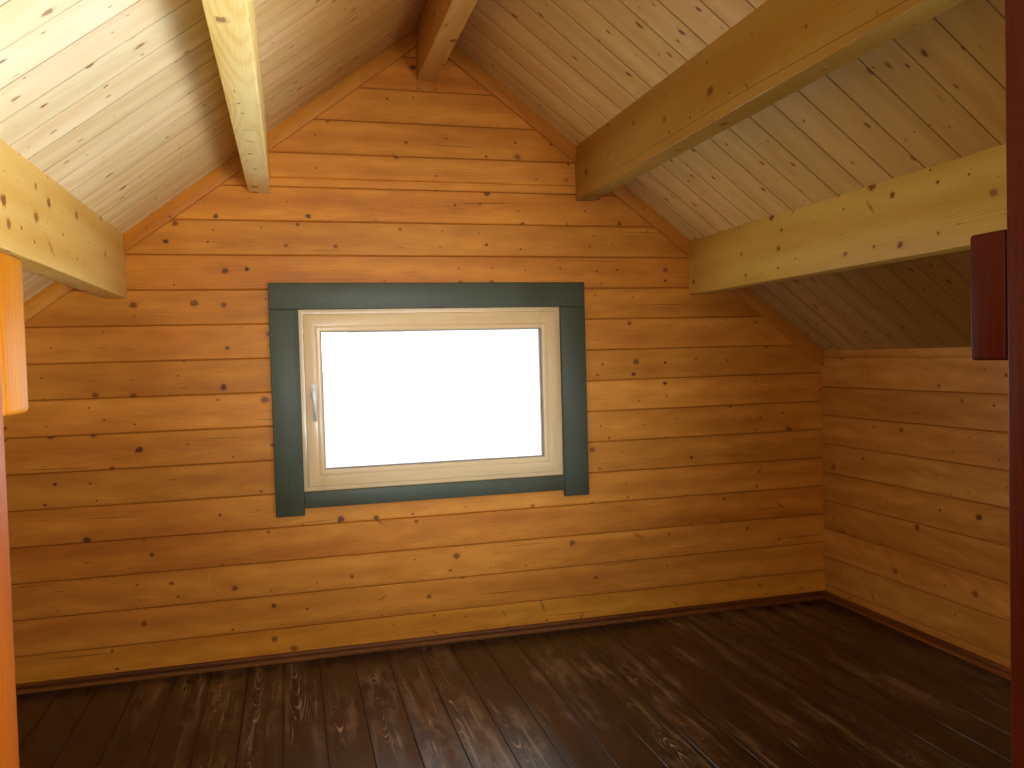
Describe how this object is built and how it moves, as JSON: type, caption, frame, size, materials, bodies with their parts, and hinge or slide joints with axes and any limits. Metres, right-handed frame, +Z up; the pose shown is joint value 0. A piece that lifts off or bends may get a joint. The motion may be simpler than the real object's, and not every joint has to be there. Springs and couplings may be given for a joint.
{
  "type": "log cabin gable end bay",
  "caption": "Open-ended loft bay of a log cabin: gable wall of interlocked logs with a window, low side walls, boarded roof on purlins, plank floor.",
  "frame": {"origin": "centre of the bounding box at the underside of the lowest logs", "axes": "+X across the room, +Y in from the open end to the gable wall, +Z up"},
  "size_m": [4.328, 3.046, 2.6727],
  "materials": {
    "lacquered_pine": "satin",
    "pale_pine": "satin",
    "ceiling_pine": "matte",
    "bitumen_shingle": "matte",
    "casing_paint": "satin",
    "raw_softwood": "matte",
    "dark_floor": "satin",
    "skirting_stain": "satin",
    "window_wood": "satin",
    "window_glass": "clear",
    "satin_metal": "satin",
    "post_stain": "satin"
  },
  "bodies": {
    "root": {"gable_log_00": "lacquered_pine", "gable_log_01": "lacquered_pine", "gable_log_02": "lacquered_pine", "gable_log_03": "lacquered_pine", "gable_log_04": "lacquered_pine", "gable_log_05": "lacquered_pine", "gable_log_06": "lacquered_pine", "gable_log_07": "lacquered_pine", "gable_log_08": "lacquered_pine", "gable_log_09": "lacquered_pine", "gable_log_10": "lacquered_pine", "gable_log_11": "lacquered_pine", "gable_log_12": "lacquered_pine", "gable_log_13": "lacquered_pine", "gable_log_14": "lacquered_pine", "gable_log_15": "lacquered_pine", "gable_log_16": "lacquered_pine", "gable_log_17": "lacquered_pine", "gable_log_18": "lacquered_pine", "gable_log_19": "lacquered_pine", "gable_thin_course": "lacquered_pine", "side_logs_even": "lacquered_pine", "side_logs_odd": "lacquered_pine", "ridge_beam": "pale_pine", "ridge_packer": "pale_pine", "mid_purlins": "pale_pine", "low_purlins": "pale_pine", "ceiling_boards_left": "ceiling_pine", "ceiling_boards_right": "ceiling_pine", "roof_covering_left": "bitumen_shingle", "roof_covering_right": "bitumen_shingle", "ridge_cap": "bitumen_shingle", "barge_boards": "casing_paint", "floor_joists": "raw_softwood", "floor_boards": "dark_floor", "skirting": "skirting_stain", "gable_battens": "lacquered_pine", "window_frame": "window_wood", "window_sash": "window_wood", "window_glass": "window_glass", "window_handle": "satin_metal", "inner_casing_boards": "casing_paint", "outer_casing_boards": "casing_paint", "doorway_posts": "post_stain", "post_blocks": "post_stain"}
  },
  "joints": []
}
